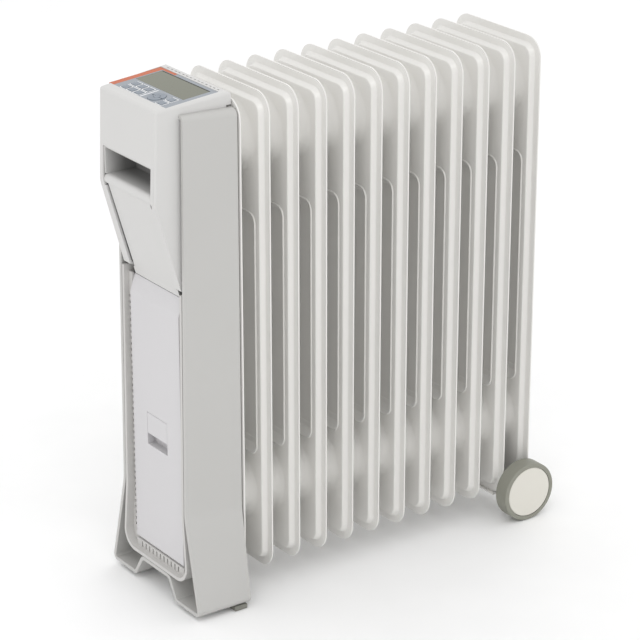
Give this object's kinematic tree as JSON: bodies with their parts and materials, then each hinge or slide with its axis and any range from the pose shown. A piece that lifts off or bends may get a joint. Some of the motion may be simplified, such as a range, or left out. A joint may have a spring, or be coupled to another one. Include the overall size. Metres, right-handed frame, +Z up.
{
  "type": "oil filled radiator heater",
  "caption": "Electric oil filled radiator: a row of pressed steel fins, a moulded control housing with a hand grip and a cord storage door on splayed feet, and wheels at the rear.",
  "frame": {"origin": "middle of the footprint's bounding box, at floor level", "axes": "+X along the row of fins from the control housing towards the wheels, +Y across the heater, to the left of someone who faces the front of the housing, +Z up"},
  "size_m": [0.542, 0.203, 0.6153],
  "materials": {
    "fin_paint": "warm ivory gloss enamel",
    "heater_steel": "zinc plated or plain steel",
    "seal_rubber": "black rubber",
    "band_plastic": "fine textured pale warm grey plastic",
    "foot_rubber": "grey rubber",
    "head_plastic": "fine textured pale grey plastic",
    "body_plastic": "fine textured pale grey plastic",
    "door_plastic": "fine textured pale grey plastic",
    "bezel_plastic": "smooth blue grey plastic",
    "accent_plastic": "smooth orange plastic",
    "lens": "clear window over a grey green display",
    "display": "grey green display",
    "circuit_board": "green circuit board",
    "switch_plastic": "black plastic",
    "key_plastic": "smooth blue grey keys",
    "tyre_plastic": "grey plastic tread",
    "rim_plastic": "grey plastic",
    "cap_plastic": "smooth pale grey plastic",
    "bracket_paint": "ivory enamel"
  },
  "bodies": {
    "heater": {"fin_01": "fin_paint", "fin_02": "fin_paint", "fin_03": "fin_paint", "fin_04": "fin_paint", "fin_05": "fin_paint", "fin_06": "fin_paint", "fin_07": "fin_paint", "fin_08": "fin_paint", "fin_09": "fin_paint", "fin_10": "fin_paint", "fin_11": "fin_paint", "fin_12": "fin_paint", "filler_plug": "fin_paint", "heating_element": "heater_steel", "element_seal": "seal_rubber", "element_flange": "heater_steel", "outer_band": "band_plastic", "foot_pads": "foot_rubber", "head_shell": "head_plastic", "slope_panel": "head_plastic", "panel_bezel": "bezel_plastic", "accent_strip": "accent_plastic", "lcd_lens": "lens", "lcd_module": "display", "key_mat": "seal_rubber", "control_board": "circuit_board", "body_shell": "body_plastic", "heat_shield": "heater_steel", "housing_screws": "heater_steel", "mounting_studs": "heater_steel", "mounting_nuts": "heater_steel", "door_pin": "heater_steel", "cord_gland": "seal_rubber", "power_board": "circuit_board", "tilt_switch": "switch_plastic", "thermal_cutout": "heater_steel", "wheel_axle": "heater_steel", "axle_clips": "heater_steel", "axle_spacers": "heater_steel", "wheel_bracket": "bracket_paint"},
    "wheel_left": {"wheel_left_tyre": "tyre_plastic", "wheel_left_rim": "rim_plastic", "wheel_left_cap": "cap_plastic"},
    "wheel_right": {"wheel_right_tyre": "tyre_plastic", "wheel_right_rim": "rim_plastic", "wheel_right_cap": "cap_plastic"},
    "door": {"storage_door": "door_plastic", "latch_pin": "heater_steel"},
    "latch": {"latch_tab": "door_plastic"},
    "key_1_cap": {"key_1": "key_plastic"},
    "key_2_cap": {"key_2": "key_plastic"},
    "key_3_cap": {"key_3": "key_plastic"},
    "key_4_cap": {"key_4": "key_plastic"},
    "key_5_cap": {"key_5": "key_plastic"},
    "key_6_cap": {"key_6": "key_plastic"},
    "key_set_cap": {"key_set": "key_plastic"},
    "key_mode_cap": {"key_mode": "key_plastic"},
    "key_up_cap": {"key_up": "key_plastic"},
    "key_down_cap": {"key_down": "key_plastic"},
    "key_centre_cap": {"key_centre": "key_plastic"}
  },
  "joints": [
    {"name": "wheel_left_spin", "type": "hinge", "parent": "heater", "child": "wheel_left", "pos_m": [0.2335, 0.0915, 0.0375], "axis": [0, 1, 0], "continuous": true},
    {"name": "wheel_right_spin", "type": "hinge", "parent": "heater", "child": "wheel_right", "pos_m": [0.2335, -0.0915, 0.0375], "axis": [0, 1, 0], "continuous": true},
    {"name": "door_hinge", "type": "hinge", "parent": "heater", "child": "door", "pos_m": [-0.235, 0, 0.0548], "axis": [0, -1, 0], "range_deg": [0, 85]},
    {"name": "latch_pivot", "type": "hinge", "parent": "door", "child": "latch", "pos_m": [-0.2366, 0, 0.2196], "axis": [0, 1, 0], "range_deg": [0, 20], "stiffness_Nm_per_rad": 0.05},
    {"name": "key_1_press", "type": "slide", "parent": "heater", "child": "key_1_cap", "axis": [0.0941, 0, -0.9956], "range_m": [0, 0.0008], "stiffness_N_per_m": 400},
    {"name": "key_2_press", "type": "slide", "parent": "heater", "child": "key_2_cap", "axis": [0.0941, 0, -0.9956], "range_m": [0, 0.0008], "stiffness_N_per_m": 400},
    {"name": "key_3_press", "type": "slide", "parent": "heater", "child": "key_3_cap", "axis": [0.0941, 0, -0.9956], "range_m": [0, 0.0008], "stiffness_N_per_m": 400},
    {"name": "key_4_press", "type": "slide", "parent": "heater", "child": "key_4_cap", "axis": [0.0941, 0, -0.9956], "range_m": [0, 0.0008], "stiffness_N_per_m": 400},
    {"name": "key_5_press", "type": "slide", "parent": "heater", "child": "key_5_cap", "axis": [0.0941, 0, -0.9956], "range_m": [0, 0.0008], "stiffness_N_per_m": 400},
    {"name": "key_6_press", "type": "slide", "parent": "heater", "child": "key_6_cap", "axis": [0.0941, 0, -0.9956], "range_m": [0, 0.0008], "stiffness_N_per_m": 400},
    {"name": "key_set_press", "type": "slide", "parent": "heater", "child": "key_set_cap", "axis": [0.0941, 0, -0.9956], "range_m": [0, 0.0008], "stiffness_N_per_m": 400},
    {"name": "key_mode_press", "type": "slide", "parent": "heater", "child": "key_mode_cap", "axis": [0.0941, 0, -0.9956], "range_m": [0, 0.0008], "stiffness_N_per_m": 400},
    {"name": "key_up_press", "type": "slide", "parent": "heater", "child": "key_up_cap", "axis": [0.0941, 0, -0.9956], "range_m": [0, 0.0008], "stiffness_N_per_m": 400},
    {"name": "key_down_press", "type": "slide", "parent": "heater", "child": "key_down_cap", "axis": [0.0941, 0, -0.9956], "range_m": [0, 0.0008], "stiffness_N_per_m": 400},
    {"name": "key_centre_press", "type": "slide", "parent": "heater", "child": "key_centre_cap", "axis": [0.0941, 0, -0.9956], "range_m": [0, 0.0008], "stiffness_N_per_m": 400}
  ]
}
